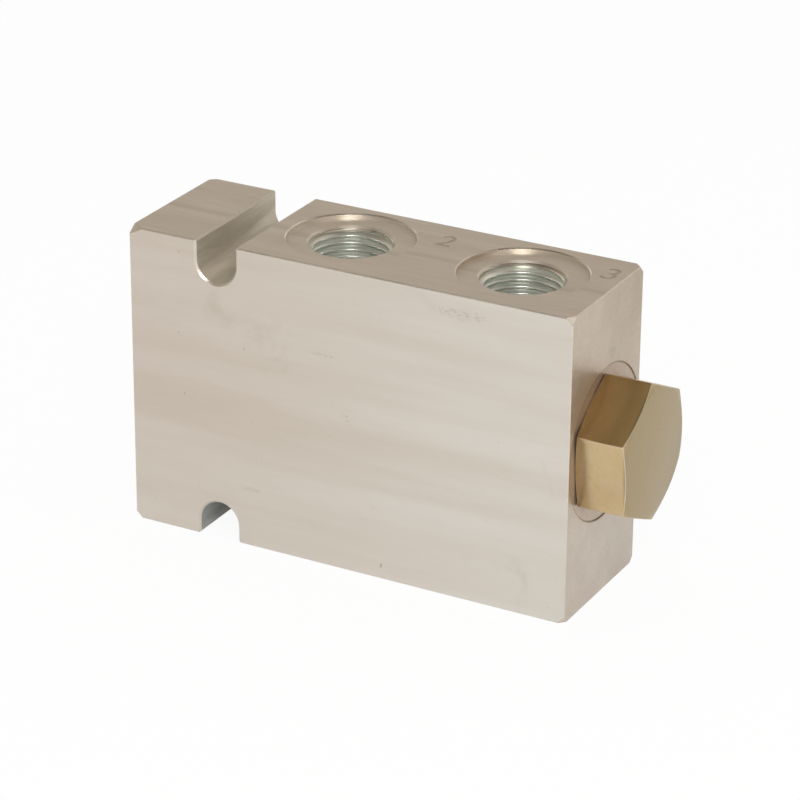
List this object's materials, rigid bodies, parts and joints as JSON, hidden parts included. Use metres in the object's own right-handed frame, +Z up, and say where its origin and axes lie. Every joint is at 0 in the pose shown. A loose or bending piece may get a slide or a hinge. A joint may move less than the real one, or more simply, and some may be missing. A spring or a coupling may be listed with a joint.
{
  "type": "hydraulic flow divider",
  "caption": "Line-mounted hydraulic flow divider: aluminium block with a base inlet, threaded outlets on top, open mounting slots and a screw-in spool cartridge.",
  "frame": {"origin": "on the base, on the inlet port's axis", "axes": "+X along the block towards the cartridge's hexagon, +Y to the back face, +Z up towards the outlet ports"},
  "size_m": [0.133, 0.0388, 0.0788],
  "materials": {
    "block": "milled and clear anodised, fine grain along the length",
    "zinc_plate": "yellow chromated zinc plate",
    "sleeve_steel": "ground",
    "hardened_steel": "honed",
    "spring_steel": "drawn wire",
    "jet_brass": "turned",
    "nitrile": "matt",
    "backup_plastic": "matt"
  },
  "bodies": {
    "root": {"valve_block": "block", "cartridge_head": "zinc_plate", "head_o_ring": "nitrile", "cartridge_sleeve": "sleeve_steel", "right_centring_spring": "spring_steel", "left_centring_spring": "spring_steel", "right_spring_shim": "sleeve_steel", "left_spring_shim": "sleeve_steel", "nose_plug": "sleeve_steel", "nose_retaining_ring": "spring_steel", "outlet_land_o_ring": "nitrile", "outlet_land_backup_right": "backup_plastic", "outlet_land_backup_left": "backup_plastic", "inlet_land_o_ring": "nitrile", "inlet_land_backup_right": "backup_plastic", "inlet_land_backup_left": "backup_plastic", "nose_o_ring": "nitrile", "nose_backup_right": "backup_plastic", "nose_backup_left": "backup_plastic"},
    "spool": {"divider_spool": "hardened_steel", "right_orifice_jet": "jet_brass", "left_orifice_jet": "jet_brass"}
  },
  "joints": [
    {"name": "spool_slide", "type": "slide", "parent": "root", "child": "spool", "axis": [1, 0, 0], "range_m": [-0.0025, 0.0025], "stiffness_N_per_m": 3000, "deforming": ["right_centring_spring", "left_centring_spring"]}
  ]
}
